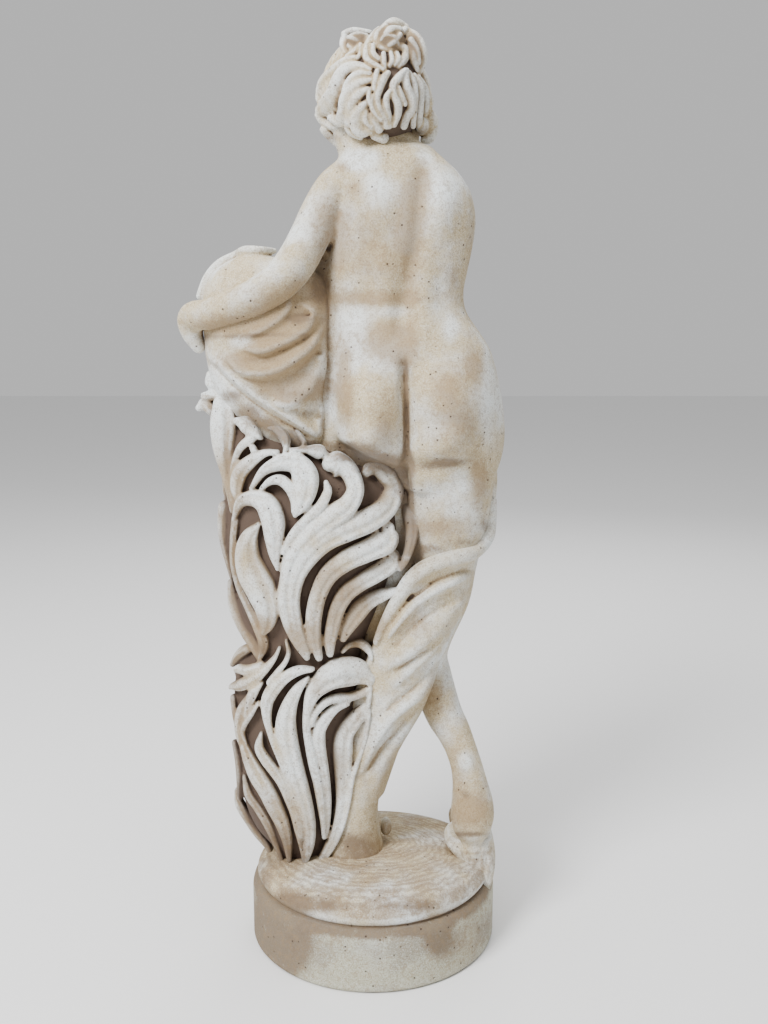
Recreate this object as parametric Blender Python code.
"""A water bearer in cast stone: a standing figure seen from behind, who leans on a draped vessel.

The vessel rests on a pillar of curling leaves, and everything is one casting with its round plinth.
The frame is in metres: +Z up, the figure faces -Y, and the origin is the middle of the underside.
"""

import math

import bmesh
import bpy
import numpy as np

# Driving sizes in metres
FIGURE_HEIGHT = 1.162  # from the plinth's top to the crown of the hair
PLINTH_DIAMETER = 0.350
PLINTH_HEIGHT = 0.088
PLINTH_EDGE = 0.010  # rounding of the upper edge
PLINTH_FOOT = 0.004  # small bevel of the lower edge
GROOVE_DEPTH = 0.009  # the soft groove between the plinth and the mound
MOUND_RISE = 0.040
MOUND_SHOULDER = 0.026  # how much of that rise is the mound's steep side
MOUND_FOOT = 0.004  # where the steep side starts above the plinth
MOUND_LEAN = 0.003  # how far that foot stands out over the groove
GROOVE_DIP = 0.001  # the groove's floor lies this much under the plinth's top
GROOVE_UNDERCUT = 0.002
MOUND_TILT = 0.55  # the mound is higher behind the figure and lower in front by this share
MOUTH_DIAMETER = 0.074  # the vessel's mouth, on the side that faces front
MOUTH_DEPTH = 0.060
MOUTH_WALL = 0.011

# The figure's pose and carving are shares of its height, drawn in perspective from behind
UNITS = 1162.0  # drawing units in the figure's height
EYE = np.array((-15.7, 1450.0, 780.0))  # the drawing's eye, in units from the plinth's top
EYE_PITCH = math.radians(9.9)  # the eye looks down by this much
EYE_SCALE = 1066.0  # picture units for one unit across at one unit's distance
EYE_MIDDLE = (384.0, 512.0)
VIEW_AHEAD = np.array((0.0, -math.cos(EYE_PITCH), -math.sin(EYE_PITCH)))
VIEW_UP = np.array((0.0, -math.sin(EYE_PITCH), math.cos(EYE_PITCH)))
VIEW_RIGHT = np.array((-1.0, 0.0, 0.0))

# How fine the casting is
GRAIN = 0.0050  # the edge of one cell when the forms are fused
TRIANGLES = 8200  # of the fused figure
TIDY_SHARE = 0.94  # kept after the joins, where the smallest slivers go
PLINTH_SIDES = 48
EDGE_TURNS = (30, 60, 90)  # degrees of the plinth's rounded edge
SHOULDER_TURNS = (0, 25, 50, 75)  # degrees of the mound's steep side
DOME_SHARES = (0.72, 0.4, 0.12)  # of the mound's radius, for the rings of its top
FORM_POWER = 2.3  # 2 is an oval ring, and more is boxier
TORSO_POWER = 2.4
LEAF_STRAND = (1.5, 0.75)  # how thick a strand is and how deep it sinks, as shares of its half width
FRONT_LEAF_STRAND = (1.3, 0.1)
FOLD_STRAND = (1.1, 0.4)
WAVE_STRAND = (1.3, 0.5)
LOCK_STRAND = (1.4, 0.5)

# Forms seen row by row: picture row, left edge, right edge, depth of the middle, half depth
TORSO = (
    (146, 352, 428, -2, 34), (156, 342, 438, -2, 44), (170, 336, 452, -2, 52), (188, 335, 465, -2, 58),
    (212, 337, 472, -2, 61), (242, 333, 471, -4, 62), (270, 328, 466, -6, 58),
    (292, 327, 462, -6, 54), (312, 331, 465, -4, 54), (332, 332, 478, 0, 60),
    (352, 331, 490, 2, 66), (382, 330, 498, 2, 72), (412, 330, 503, 0, 76),
    (442, 331, 504, -2, 76), (468, 338, 498, -4, 70), (486, 350, 488, -4, 60),
)
RIGHT_THIGH = (
    (440, 412, 503, -2, 66), (480, 404, 495, -6, 62), (520, 402, 488, -12, 60),
    (560, 398, 478, -20, 58), (600, 396, 470, -28, 54), (640, 396, 452, -34, 48),
    (668, 402, 444, -36, 38),
)
DRAPED_LEG = (
    (540, 372, 476, -6, 60), (580, 366, 473, -8, 60), (620, 358, 459, -6, 58),
    (660, 350, 442, -2, 54), (700, 344, 428, 2, 50), (740, 338, 405, 6, 46),
    (772, 334, 388, 10, 44), (800, 330, 380, 12, 44), (832, 326, 382, 14, 46),
    (868, 322, 391, 16, 50), (884, 322, 394, 16, 50),
)
UPPER_LEAVES = (
    (400, 212, 262, -10, 36), (424, 213, 300, -10, 56), (450, 217, 352, -8, 70),
    (480, 223, 392, -6, 80), (510, 222, 402, -4, 84), (540, 221, 406, -4, 84),
    (570, 229, 400, -4, 82), (600, 235, 388, -4, 78), (630, 245, 374, -4, 72),
    (660, 250, 366, -4, 68),
)
LOWER_LEAVES = (
    (644, 246, 366, -4, 66), (668, 232, 370, -4, 74), (706, 229, 368, -2, 76),
    (750, 234, 358, 0, 74), (790, 238, 348, 2, 70), (820, 250, 342, 4, 64),
    (846, 272, 336, 4, 58), (880, 278, 334, 4, 54),
)
VESSEL = (
    (256, 240, 270, -22, 34), (272, 216, 322, -20, 58), (300, 204, 334, -16, 72),
    (335, 206, 334, -12, 76), (368, 210, 332, -10, 74), (398, 220, 330, -8, 66),
    (426, 244, 330, -6, 56), (446, 270, 330, -6, 44),
)

# Limbs in the round: picture column and row of the middle, depth, half width, half depth
NECK = ((354, 120, -6, 28, 28), (358, 138, -4, 32, 30), (376, 154, -2, 48, 34), (396, 178, -2, 56, 38))
LEFT_ARM = (
    (354, 174, 2, 26, 32), (335, 189, 6, 26, 33), (321, 212, 14, 26, 31), (309, 238, 28, 26, 28),
    (296, 262, 44, 26, 27), (279, 282, 54, 25, 27), (256, 297, 56, 24, 26), (232, 307, 52, 22, 24),
    (210, 314, 40, 20, 20), (196, 316, 28, 19, 17),
)
LEFT_HAND = ((204, 314, 32, 20, 15), (192, 318, 20, 20, 13), (192, 332, 10, 16, 12), (199, 347, 2, 10, 10))
RIGHT_ARM = (
    (442, 184, 0, 26, 32), (452, 204, -16, 28, 32), (456, 232, -48, 26, 28), (446, 268, -78, 25, 26),
    (430, 292, -98, 24, 24), (398, 300, -116, 23, 23), (360, 296, -122, 20, 20), (328, 288, -116, 16, 16),
)
RIGHT_HAND = ((336, 290, -118, 17, 13), (316, 286, -110, 18, 11), (298, 290, -100, 14, 9), (290, 298, -94, 9, 7))
BARE_SHIN = (
    (424, 640, -38, 30, 38), (431, 672, -32, 29, 36), (443, 706, -18, 26, 34), (457, 742, 0, 26, 30),
    (467, 772, 16, 25, 26), (472, 796, 28, 26, 27), (473, 816, 32, 28, 30), (472, 828, 30, 27, 28),
)
KNEE = (424, 646, -52, 36, 42, 40)  # column, row, depth and three radii

# Swellings and furrows of the back, drawn on the torso
BACK_SWELLINGS = (  # column, row, half width, half height, rise in units
    (366, 408, 40, 56, 26), (364, 446, 36, 30, 18), (453, 404, 48, 56, 24), (446, 448, 40, 28, 18),
    (374, 206, 26, 40, 8), (441, 210, 24, 42, 8), (384, 290, 14, 60, 4), (424, 300, 16, 50, 5),
)
BACK_FURROWS = (  # points of the line, its half width and its depth in units
    (((423, 150), (422, 200), (417, 245), (408, 280), (402, 315), (402, 345)), 9, 8),
    (((403, 362), (405, 400), (407, 440), (408, 492)), 6, 30),
)
FRONT_MASSES = (  # column, row, depth, half width, half depth, half height
    (366, 222, -48, 33, 32, 34), (420, 224, -46, 34, 32, 34), (396, 352, -26, 70, 50, 84),
    (442, 196, -4, 34, 42, 36), (350, 186, 2, 28, 36, 34), (316, 270, -34, 26, 30, 34),
)

# Strands: picture column, row and half width along a leaf, a lock or a fold
LEAVES_ABOVE = (
    ((252, 492, 3), (266, 475, 7), (287, 463, 10), (305, 474, 11), (306, 493, 9), (297, 512, 4)),
    ((263, 489, 3), (278, 480, 5), (291, 487, 5), (294, 502, 3)),
    ((325, 470, 6), (332, 464, 12), (350, 470, 12), (355, 490, 10), (345, 510, 8), (322, 528, 6),
     (301, 548, 6), (288, 572, 6), (284, 602, 6), (291, 632, 6), (305, 658, 4)),
    ((362, 474, 4), (376, 468, 9), (390, 478, 11), (394, 495, 11), (385, 513, 9), (364, 528, 8),
     (338, 542, 7), (316, 559, 7), (304, 582, 7), (299, 608, 7), (302, 636, 6), (309, 659, 4)),
    ((234, 530, 4), (240, 507, 7), (257, 497, 10), (274, 505, 11), (281, 524, 10), (280, 546, 7),
     (277, 570, 3)),
    ((398, 482, 3), (405, 510, 5), (411, 530, 5), (410, 550, 4), (398, 572, 3)),
    ((393, 538, 5), (368, 549, 8), (343, 562, 8), (323, 580, 8), (313, 604, 7), (312, 635, 6),
     (319, 662, 4)),
    ((394, 556, 5), (376, 571, 7), (349, 586, 8), (333, 609, 7), (327, 644, 5)),
    ((398, 588, 4), (379, 596, 6), (358, 612, 7), (344, 637, 6)),
    ((257, 524, 9), (255, 548, 16), (257, 576, 17), (265, 606, 13), (271, 632, 8), (263, 656, 5)),
    ((236, 520, 5), (234, 560, 6), (243, 595, 6), (257, 630, 6), (262, 656, 5)),
    ((222, 506, 5), (221, 528, 6), (227, 570, 5), (234, 594, 4)),
    ((222, 408, 8), (223, 430, 11), (228, 465, 8), (232, 500, 6), (232, 526, 4)),
    ((262, 423, 4), (252, 417, 8), (245, 427, 8), (252, 440, 5), (246, 460, 5), (236, 482, 4)),
    ((245, 418, 4), (256, 411, 6), (267, 420, 3)),
    ((268, 430, 3), (281, 438, 5), (286, 453, 3)),
    ((278, 425, 3), (293, 434, 5), (304, 446, 3)),
    ((288, 453, 4), (308, 450, 7), (327, 452, 3)),
    ((200, 410, 3), (205, 396, 6), (215, 392, 6), (223, 400, 5), (216, 410, 4)),
    ((281, 447, 4), (252, 460, 5), (236, 482, 5), (230, 506, 4)),
    ((272, 459, 4), (252, 474, 5), (244, 494, 4)),
)
LEAVES_BELOW = (
    ((312, 668, 3), (296, 666, 6), (278, 675, 8), (266, 692, 8), (263, 712, 8), (270, 738, 9),
     (281, 762, 9), (291, 790, 8), (299, 824, 8), (305, 864, 7)),
    ((372, 678, 6), (358, 671, 13), (338, 673, 14), (320, 684, 10), (310, 704, 7), (309, 732, 7),
     (313, 766, 8), (319, 800, 7), (324, 838, 5)),
    ((342, 652, 3), (356, 645, 6), (370, 654, 5), (374, 664, 3)),
    ((348, 704, 4), (331, 722, 6), (325, 750, 6), (328, 790, 6), (330, 832, 5), (322, 860, 4)),
    ((373, 690, 4), (359, 718, 6), (345, 748, 8), (342, 782, 8), (338, 815, 7), (330, 846, 5)),
    ((364, 736, 4), (360, 762, 5), (353, 788, 6), (346, 808, 6), (338, 832, 5), (327, 858, 4)),
    ((261, 730, 4), (262, 748, 6), (276, 775, 6), (289, 803, 6), (297, 832, 6), (303, 862, 5)),
    ((242, 726, 4), (250, 750, 5), (267, 780, 6), (283, 811, 6), (294, 844, 6), (298, 866, 5)),
    ((243, 766, 5), (259, 796, 6), (275, 828, 7), (287, 862, 7)),
    ((236, 770, 5), (244, 798, 6), (260, 824, 7), (273, 860, 6)),
    ((231, 706, 4), (235, 741, 5), (238, 771, 5), (240, 796, 4)),
    ((280, 652, 4), (263, 668, 7), (246, 677, 8), (233, 685, 4)),
    ((262, 648, 5), (248, 650, 9), (237, 662, 7)),
    ((262, 679, 4), (249, 694, 5), (244, 712, 4)),
    ((270, 693, 4), (254, 706, 6), (243, 728, 5)),
    ((312, 677, 3), (298, 692, 6), (292, 716, 7), (294, 748, 7), (301, 780, 6), (308, 806, 5)),
)
LEG_FOLDS = (
    ((490, 524, 6), (484, 540, 7), (460, 549, 8), (430, 557, 9), (411, 571, 9), (397, 592, 8),
     (384, 618, 7), (374, 646, 6)),
    ((474, 573, 5), (434, 600, 8), (399, 634, 8), (379, 662, 6)),
    ((468, 597, 5), (432, 627, 8), (400, 656, 8), (377, 692, 6)),
    ((456, 632, 5), (426, 660, 8), (393, 692, 8), (368, 732, 6)),
    ((441, 668, 5), (419, 699, 7), (391, 738, 7), (373, 776, 6), (361, 812, 5), (352, 850, 4)),
    ((428, 702, 3), (408, 733, 4), (391, 762, 4), (379, 794, 4), (377, 830, 4), (384, 864, 5)),
)
VESSEL_FOLDS = (
    ((270, 250, 4), (242, 251, 6), (226, 263, 6), (210, 276, 6), (202, 292, 5)),
    ((225, 338, 4), (245, 353, 6), (268, 352, 7), (291, 337, 6), (308, 311, 4)),
    ((214, 350, 4), (240, 370, 6), (264, 374, 7), (296, 361, 6), (323, 330, 4)),
    ((240, 386, 4), (262, 397, 6), (286, 402, 7), (310, 388, 6), (326, 356, 4)),
    ((207, 358, 4), (238, 384, 5), (272, 409, 6), (310, 434, 5)),
    ((326, 360, 3), (325, 400, 4), (320, 436, 4)),
    ((206, 362, 5), (205, 378, 6), (212, 392, 4)),
)

# The hair, drawn over the skull
HEAD = (376, 96, -4)  # column, row and depth of its middle
HEAD_RADII = (66, 78, 72)  # across, front to back and up, in units
HEAD_CORE = 0.86  # the head under the locks, as a share of those radii
HAIR_LEFT = (
    ((376, 62, 4), (352, 62, 6), (332, 74, 7), (323, 94, 7), (320, 114, 5)),
    ((376, 68, 4), (356, 72, 6), (339, 86, 6), (330, 106, 6), (325, 126, 5)),
    ((376, 74, 4), (360, 82, 6), (347, 98, 6), (339, 118, 6), (334, 136, 5)),
    ((378, 80, 4), (366, 92, 6), (353, 108, 6), (346, 126, 6), (348, 138, 5)),
    ((378, 88, 4), (368, 102, 9), (364, 118, 11), (367, 132, 6), (378, 136, 6)),
)
HAIR_RIGHT_LOCKS = 7
HAIR_KNOT = (384, 68)
HAIR_HEM = ((378, 134), (406, 135), (430, 124))  # where the right-hand locks end, left to right
BUN = (  # column, row, depth, half width, half depth, half height
    (357, 46, 30, 19, 22, 18), (388, 46, 30, 27, 32, 29), (412, 54, 24, 17, 26, 28),
    (384, 69, 44, 14, 14, 12),
)
FACE_AHEAD = np.array((0.42, -0.90, -0.10))  # where the face looks
FACE_MASSES = (  # ahead, down and three radii: the cheeks, the jaw and the nose
    (26, 24, 48, 48, 62), (50, 62, 24, 24, 20), (76, 26, 9, 12, 22),
)

# What only shows from the front: the cloth round the legs, the feet and the stone under one of them
FRONT_CLOTH = (
    (436, 352, 488, -52, 52), (462, 344, 497, -50, 62), (500, 342, 496, -46, 68), (540, 344, 484, -42, 70),
    (580, 346, 474, -40, 70), (620, 346, 462, -36, 66), (660, 344, 440, -26, 58), (700, 342, 424, -14, 52),
    (740, 338, 404, -4, 46), (790, 336, 386, 6, 40),
)
FRONT_FOLDS = (  # column, row and half width, from the hip that the cloth hangs on
    ((492, 446, 6), (450, 440, 8), (400, 440, 8), (354, 444, 6)),
    ((492, 470, 6), (450, 466, 8), (400, 452, 8), (356, 446, 6)),
    ((490, 500, 5), (450, 520, 8), (404, 534, 9), (362, 530, 6)),
    ((484, 540, 5), (448, 580, 8), (410, 606, 9), (366, 600, 6)),
    ((474, 590, 5), (444, 640, 8), (408, 670, 8), (366, 664, 5)),
    ((452, 650, 5), (428, 700, 7), (398, 742, 7), (366, 770, 5)),
    ((400, 560, 6), (388, 640, 8), (378, 720, 7), (366, 800, 6), (362, 860, 5)),
    ((430, 600, 6), (410, 680, 7), (392, 750, 6), (380, 820, 5), (378, 862, 4)),
)
HEEL = (472, 820, 32)
FOOT_RIGHT = (  # from the heel: across, back, up, half width, half height in units
    (0, 0, 0, 26, 24), (2, -40, 2, 25, 24), (8, -84, -8, 29, 18), (10, -122, -14, 28, 12),
)
BLOCK = ((-4, 30, -48, 22, 26), (-2, 6, -46, 34, 30), (6, -50, -46, 42, 30), (10, -130, -48, 36, 26))
ANKLE = (356, 852, 16)
FOOT_LEFT = ((0, 0, 0, 34, 30), (6, -40, -4, 31, 26), (14, -86, -14, 31, 16), (20, -124, -18, 28, 11))
MOUTH = (268, 300, -92)  # the middle of the vessel's rim: column, row and depth
MOUTH_AHEAD = np.array((0.16, -0.90, 0.42))  # where it opens
LEAF_RELIEF = 11  # how far the leaves stand out of the pillar, in units
FRONT_LEAVES = 7  # on the front of each tier
FRONT_LEAF = ((0.0, 5), (0.3, 8), (0.6, 9), (0.85, 9), (1.0, 7))  # share of its height, half width
FRONT_ABOVE = (470, 655, 40)  # the row of the tips, the row of the feet and the lean
FRONT_BELOW = (670, 862, 26)


def unit():
    """The length of one drawing unit in metres."""
    return FIGURE_HEIGHT / UNITS


def seen(column, row, depth):
    """The point of the frame that the drawing's eye sees at a column and a row, at a depth in units."""
    across = (column - EYE_MIDDLE[0]) / EYE_SCALE
    down = (row - EYE_MIDDLE[1]) / EYE_SCALE
    sight = VIEW_AHEAD + across * VIEW_RIGHT - down * VIEW_UP
    point = EYE + sight * (depth - EYE[1]) / sight[1]
    return point * unit() + np.array((0.0, 0.0, PLINTH_HEIGHT))


def picture_size(size, depth):
    """A size across the picture, in metres, at a depth in units."""
    return size * (EYE[1] - depth) / EYE_SCALE * unit()


def smooth_rows(rows, count):
    """Rows of numbers read from a smooth curve through the given rows (Catmull-Rom)."""
    rows = np.asarray(rows, float)
    padded = np.vstack((2 * rows[0] - rows[1], rows, 2 * rows[-1] - rows[-2]))
    place = np.linspace(0, len(rows) - 1, count)
    step = np.minimum(place.astype(int), len(rows) - 2)
    t = (place - step)[:, None]
    a, b, c, d = (padded[step + i] for i in range(4))
    return 0.5 * (2 * b + (c - a) * t + (2 * a - 5 * b + 4 * c - d) * t**2 + (3 * b - a - 3 * c + d) * t**3)


def tube(rows, around=16, deep=(0.0, 1.0, 0.0), power=2.0):
    """A closed skin round a path: each row is x, y, z, half width and half depth in metres."""
    rows = np.asarray(rows, float)
    centre, wide, thick = rows[:, :3], rows[:, 3:4], rows[:, 4:5]
    tangent = np.gradient(centre, axis=0)
    tangent /= np.linalg.norm(tangent, axis=1, keepdims=True)
    depth_way = np.asarray(deep) - tangent * (tangent @ np.asarray(deep))[:, None]
    depth_way /= np.linalg.norm(depth_way, axis=1, keepdims=True)
    width_way = np.cross(tangent, depth_way)
    ends = []
    for index, way in ((0, -1.0), (-1, 1.0)):
        reach = min(rows[index, 3], rows[index, 4])
        rings = []
        for turn in (math.radians(35), math.radians(68)):
            middle = centre[index] + way * tangent[index] * reach * math.sin(turn)
            rings.append((middle, rows[index, 3:5] * math.cos(turn), width_way[index], depth_way[index]))
        ends.append((rings, centre[index] + way * tangent[index] * reach))
    rings = list(reversed(ends[0][0]))
    rings += [(centre[i], rows[i, 3:5], width_way[i], depth_way[i]) for i in range(len(rows))]
    rings += ends[1][0]
    angle = np.linspace(0, 2 * math.pi, around, endpoint=False)
    cosine = np.sign(np.cos(angle)) * np.abs(np.cos(angle)) ** (2 / power)
    sine = np.sign(np.sin(angle)) * np.abs(np.sin(angle)) ** (2 / power)
    points = [ends[0][1]]
    for middle, sizes, across, inward in rings:
        points.extend(middle + np.outer(cosine * sizes[0], across) + np.outer(sine * sizes[1], inward))
    points.append(ends[1][1])
    return np.array(points), ring_sides(len(rings), around)


def ring_sides(rings, around):
    """The faces of a skin made of rings between two end points."""
    last = rings * around + 1
    faces = []
    for i in range(around):
        j = (i + 1) % around
        faces.append((0, 1 + j, 1 + i))
        for ring in range(rings - 1):
            low, high = 1 + ring * around, 1 + (ring + 1) * around
            faces.append((low + i, low + j, high + j, high + i))
        low = 1 + (rings - 1) * around
        faces.append((low + i, low + j, last))
    return faces


def form(rows, count=40, around=40, power=FORM_POWER, relief=None, inset=0):
    """A standing form of level rings, from rows that give the picture's left and right edges."""
    angle = np.linspace(0, 2 * math.pi, around, endpoint=False)
    cosine = np.sign(np.cos(angle)) * np.abs(np.cos(angle)) ** (2 / power)
    sine = np.sign(np.sin(angle)) * np.abs(np.sin(angle)) ** (2 / power)
    rings = []
    for row, left, right, depth, thick in smooth_rows(rows, count):
        middle, half = (left + right) / 2, (right - left) / 2 - inset / 5
        centre = seen(middle, row, depth)
        across = -picture_size(half, depth) * cosine
        inward = (thick - inset) * sine
        if relief:
            inward = inward + relief(middle + half * cosine, row) * np.clip(sine * 2, 0, 1)
        rings.append(np.stack((centre[0] + across, centre[1] + inward * unit(),
                               np.full(around, centre[2])), 1))
    ends = [rings[i].mean(axis=0) for i in (0, -1)]
    points = np.vstack([ends[0][None]] + rings + [ends[1][None]])
    return points, ring_sides(len(rings), around)


def limb(rows, count=24, around=20, deep=(0.0, 1.0, 0.0)):
    """A tube from rows that give the middle's column, row and depth with both half sizes in units."""
    path = []
    for column, row, depth, wide, thick in smooth_rows(rows, count):
        path.append((*seen(column, row, depth), wide * unit(), thick * unit()))
    return tube(path, around, deep)


def ball(centre, radii, around=20):
    """An ellipsoid in the frame's own directions, as a tube that closes at both ends."""
    turn = np.linspace(-math.pi / 2 + 0.18, math.pi / 2 - 0.18, 11)
    path = [(centre[0], centre[1], centre[2] + radii[2] * math.sin(a), radii[0] * math.cos(a),
             radii[1] * math.cos(a)) for a in turn]
    return tube(path, around)


def mass(column, row, depth, wide, thick, high):
    """An ellipsoid placed by the picture, with its half sizes in units."""
    return ball(seen(column, row, depth), np.array((wide, thick, high)) * unit())


def surface_depth(rows, column, row, side=1):
    """The depth of a form's near surface at a place in the picture, or of its far one with side -1."""
    rows = np.asarray(rows, float)
    left, right, depth, thick = (np.interp(row, rows[:, 0], rows[:, i]) for i in range(1, 5))
    share = np.clip((column - (left + right) / 2) / ((right - left) / 2), -1, 1)
    return depth + side * thick * math.sqrt(1 - abs(share) ** FORM_POWER)


def head_depth(column, row):
    """The depth of the hair's near surface."""
    across = picture_size(column - HEAD[0], HEAD[2]) / unit() / HEAD_RADII[0]
    high = picture_size(row - HEAD[1], HEAD[2]) / unit() / HEAD_RADII[2]
    return HEAD[2] + HEAD_RADII[1] * math.sqrt(max(0.0, 1 - across**2 - high**2))


def strand(points, depth_at, thickness=1.0, sink=0.35, side=1, step=3):
    """A carved strand that lies on a form: a leaf's rib, a lock of hair or a fold of cloth."""
    path = []
    for column, row, half in smooth_rows(points, (len(points) - 1) * step + 1):
        depth = depth_at(column, row) - side * sink * half
        wide = picture_size(half, depth)
        path.append((*seen(column, row, depth), wide, wide * thickness))
    return tube(path, 10)


def strands(lines, rows, thickness, sink, side=1):
    """All the strands that lie on one form."""
    return [strand(points, lambda c, r: surface_depth(rows, c, r, side), thickness, sink, side)
            for points in lines]


def back_relief(columns, row):
    """How far the torso's back swells or sinks, in units, along one row of the picture."""
    rise = np.zeros(len(columns))
    for column, middle, wide, high, swell in BACK_SWELLINGS:
        reach = ((columns - column) / wide) ** 2 + ((row - middle) / high) ** 2
        rise += swell * np.clip(1 - reach, 0, 1) ** 1.5
    for line, half, depth in BACK_FURROWS:
        line = np.array(line, float)
        end = np.clip(min(row - line[0, 1], line[-1, 1] - row) / 25, 0, 1)
        middle = np.interp(row, line[:, 1], line[:, 0])
        rise -= depth * end * np.exp(-(((columns - middle) / half) ** 2))
    return rise


def hair():
    """The skull under its hair, the locks, the rolled ends and the bun."""
    pieces = [ball(seen(*HEAD), np.array(HEAD_RADII) * unit() * HEAD_CORE)]
    for points in HAIR_LEFT:
        pieces.append(strand(points, head_depth, *WAVE_STRAND))
    ends = smooth_rows(HAIR_HEM, HAIR_RIGHT_LOCKS)
    for share, (column, row) in zip(np.linspace(0, 1, HAIR_RIGHT_LOCKS), ends):
        top = (HAIR_KNOT[0] + 12 * share, HAIR_KNOT[1] + 4, 4)
        middle = (0.62 * column + 0.38 * top[0] + 6 * share, 0.5 * (row + top[1]) - 4 * share, 5)
        pieces.append(strand((top, middle, (column, row, 5)), head_depth, *LOCK_STRAND))
    for sizes in BUN:
        pieces.append(mass(*sizes))
    return pieces


def face():
    """The cheeks, jaw and nose, on the side that looks front."""
    ahead = FACE_AHEAD / np.linalg.norm(FACE_AHEAD)
    middle = seen(*HEAD)
    down = np.array((0.0, 0.0, -1.0))
    return [ball(middle + (out * ahead + low * down) * unit(), np.array(radii) * unit())
            for out, low, *radii in FACE_MASSES]


def walked(anchor, offsets):
    """A tube that lies along the ground from an anchor, through offsets in units."""
    start = seen(*anchor)
    path = []
    for across, back, up, wide, high in smooth_rows(offsets, 14):
        path.append((*(start + np.array((across, back, up)) * unit()), wide * unit(), high * unit()))
    return tube(path, 20, (0.0, 0.0, 1.0))


def flesh():
    """The bare body: torso, arms, thigh, shin and feet, and the stone under the raised foot."""
    pieces = [form(TORSO, 60, 96, TORSO_POWER, back_relief), form(RIGHT_THIGH), limb(NECK)]
    pieces += [limb(rows) for rows in (LEFT_ARM, LEFT_HAND, RIGHT_ARM, RIGHT_HAND, BARE_SHIN)]
    pieces += [walked(HEEL, FOOT_RIGHT), walked(HEEL, BLOCK), walked(ANKLE, FOOT_LEFT)]
    pieces += [mass(*sizes) for sizes in FRONT_MASSES]
    pieces.append(mass(*KNEE))
    return pieces


def front_leaves(rows, top, bottom, lean):
    """Plain curling leaves round the front of one tier, each with a tip that rolls over."""
    lines = []
    for share in np.linspace(0.06, 0.94, FRONT_LEAVES):
        line = []
        for rise, half in FRONT_LEAF:
            row = bottom + (top - bottom) * rise
            left, right = (np.interp(row, [r[0] for r in rows], [r[i] for r in rows]) for i in (1, 2))
            bend = lean * math.sin(rise * math.pi) * (0.5 - share)
            line.append((left + (right - left) * (0.5 + (share - 0.5) * (0.7 + 0.3 * rise)) + bend, row, half))
        lines.append(line)
    return strands(lines, rows, *FRONT_LEAF_STRAND, -1)


def leaves():
    """The pillar's two tiers of curling leaves, drawn behind and repeated plainly in front."""
    pieces = [form(UPPER_LEAVES, inset=LEAF_RELIEF), form(LOWER_LEAVES, inset=LEAF_RELIEF)]
    pieces += strands(LEAVES_ABOVE, UPPER_LEAVES, *LEAF_STRAND)
    pieces += strands(LEAVES_BELOW, LOWER_LEAVES, *LEAF_STRAND)
    pieces += front_leaves(UPPER_LEAVES, *FRONT_ABOVE)
    pieces += front_leaves(LOWER_LEAVES, *FRONT_BELOW)
    return pieces


def drapery():
    """The cloth over the legs and over the vessel, with its folds."""
    pieces = [form(DRAPED_LEG), form(FRONT_CLOTH), form(VESSEL)]
    pieces += strands(LEG_FOLDS, DRAPED_LEG, *FOLD_STRAND)
    pieces += strands(FRONT_FOLDS, FRONT_CLOTH, *FOLD_STRAND, -1)
    pieces += strands(VESSEL_FOLDS, VESSEL, *FOLD_STRAND)
    return pieces


def rod(start, way, length, radius):
    """A closed round rod from a start point along a direction, as a skin or a cutter."""
    way = way / np.linalg.norm(way)
    across = np.cross(way, (0.0, 0.0, 1.0))
    across /= np.linalg.norm(across)
    upward = np.cross(across, way)
    angle = np.linspace(0, 2 * math.pi, 32, endpoint=False)
    circle = np.outer(np.cos(angle), across) + np.outer(np.sin(angle), upward)
    stops = ((0.0, radius), (length, radius))
    rings = [start + way * along + circle * size for along, size in stops]
    points = np.vstack([start[None]] + rings + [(start + way * length)[None]])
    return points, ring_sides(2, 32)


def joined(name, pieces):
    """One mesh object from many closed skins."""
    mesh = bpy.data.meshes.new(name)
    points, faces, start = [], [], 0
    for skin, sides in pieces:
        points.append(skin)
        faces += [tuple(start + corner for corner in side) for side in sides]
        start += len(skin)
    mesh.from_pydata(np.vstack(points).tolist(), [], faces)
    mesh.update()
    work = bmesh.new()
    work.from_mesh(mesh)
    bmesh.ops.recalc_face_normals(work, faces=work.faces)
    work.to_mesh(mesh)
    work.free()
    made = bpy.data.objects.new(name, mesh)
    bpy.context.scene.collection.objects.link(made)
    return made


def turned(name, profile, sides):
    """A closed turned piece from its profile of radii and heights, bottom to top."""
    points, faces = [(0.0, 0.0, profile[0][1])], []
    for radius, height in profile:
        for k in range(sides):
            angle = 2 * math.pi * k / sides
            points.append((radius * math.cos(angle), radius * math.sin(angle), height))
    points.append((0.0, 0.0, profile[-1][1]))
    for k in range(sides):
        n = (k + 1) % sides
        faces.append((0, 1 + n, 1 + k))
        for ring in range(len(profile) - 1):
            low, high = 1 + ring * sides, 1 + (ring + 1) * sides
            faces.append((low + k, low + n, high + n, high + k))
        low = 1 + (len(profile) - 1) * sides
        faces.append((low + k, low + n, len(points) - 1))
    return joined(name, [(np.array(points), faces)])


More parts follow.
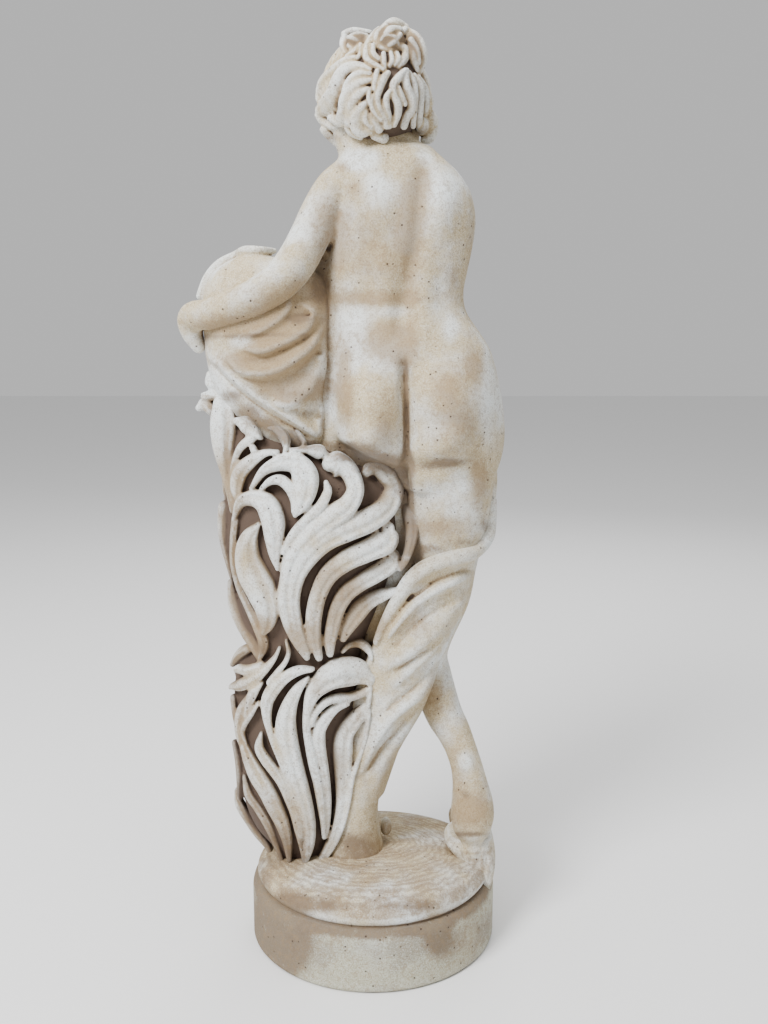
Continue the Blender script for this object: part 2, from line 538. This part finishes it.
def plinth():
    """The drum, its soft groove and the mound that the figure stands on."""
    radius = PLINTH_DIAMETER / 2
    inner = radius - GROOVE_DEPTH
    profile = [(radius - PLINTH_FOOT, 0.0), (radius, PLINTH_FOOT), (radius, PLINTH_HEIGHT - PLINTH_EDGE)]
    for turn in EDGE_TURNS:
        angle = math.radians(turn)
        profile.append((radius - PLINTH_EDGE * (1 - math.cos(angle)),
                        PLINTH_HEIGHT - PLINTH_EDGE * (1 - math.sin(angle))))
    profile.append((inner - GROOVE_UNDERCUT, PLINTH_HEIGHT - GROOVE_DIP))
    for turn in SHOULDER_TURNS:
        angle = math.radians(turn)
        profile.append((inner + MOUND_LEAN - MOUND_SHOULDER * (1 - math.cos(angle)),
                        PLINTH_HEIGHT + MOUND_FOOT + (MOUND_SHOULDER - MOUND_FOOT) * math.sin(angle)))
    for share in DOME_SHARES:
        rise = MOUND_SHOULDER + (MOUND_RISE - MOUND_SHOULDER) * (1 - share**2)
        profile.append((share * inner, PLINTH_HEIGHT + rise))
    made = turned("plinth", profile, PLINTH_SIDES)
    for vertex in made.data.vertices:
        above = max(0.0, vertex.co.z - PLINTH_HEIGHT)
        vertex.co.z += above * MOUND_TILT * vertex.co.y / radius
    return made


def stone():
    """Pale cast stone."""
    made = bpy.data.materials.new("stone")
    made.use_nodes = True
    shader = made.node_tree.nodes["Principled BSDF"]
    shader.inputs["Base Color"].default_value = (0.62, 0.55, 0.45, 1.0)
    shader.inputs["Roughness"].default_value = 0.9
    shader.inputs["Metallic"].default_value = 0.0
    return made


def helper(made):
    """Marks a piece that only cuts the statue or joins it."""
    made.hide_render = True
    made.display_type = "WIRE"
    return made


def build():
    for old in list(bpy.data.objects):
        bpy.data.objects.remove(old, do_unlink=True)
    ahead = MOUTH_AHEAD / np.linalg.norm(MOUTH_AHEAD)
    rim = seen(*MOUTH)
    neck = rod(rim - ahead * MOUTH_DEPTH, ahead, MOUTH_DEPTH, MOUTH_DIAMETER / 2 + MOUTH_WALL)
    statue = joined("statue", flesh() + face() + hair() + leaves() + drapery() + [neck])
    statue.data.materials.append(stone())
    fuse = statue.modifiers.new("fuse", "REMESH")
    fuse.mode = "VOXEL"
    fuse.voxel_size = GRAIN
    soften = statue.modifiers.new("soften", "SMOOTH")
    soften.factor = 0.5
    soften.iterations = 2
    bpy.context.view_layer.update()
    fine = statue.evaluated_get(bpy.context.evaluated_depsgraph_get()).to_mesh()
    fine.calc_loop_triangles()
    lighten = statue.modifiers.new("lighten", "DECIMATE")
    lighten.ratio = min(1.0, TRIANGLES / len(fine.loop_triangles))
    hollow = rod(rim - ahead * MOUTH_DEPTH, ahead, MOUTH_DEPTH * 2, MOUTH_DIAMETER / 2)
    cut = statue.modifiers.new("mouth", "BOOLEAN")
    cut.operation = "DIFFERENCE"
    cut.object = helper(joined("mouth_cutter", [hollow]))
    stand = statue.modifiers.new("plinth", "BOOLEAN")
    stand.operation = "UNION"
    stand.object = helper(plinth())
    tidy = statue.modifiers.new("tidy", "DECIMATE")
    tidy.ratio = TIDY_SHARE


build()
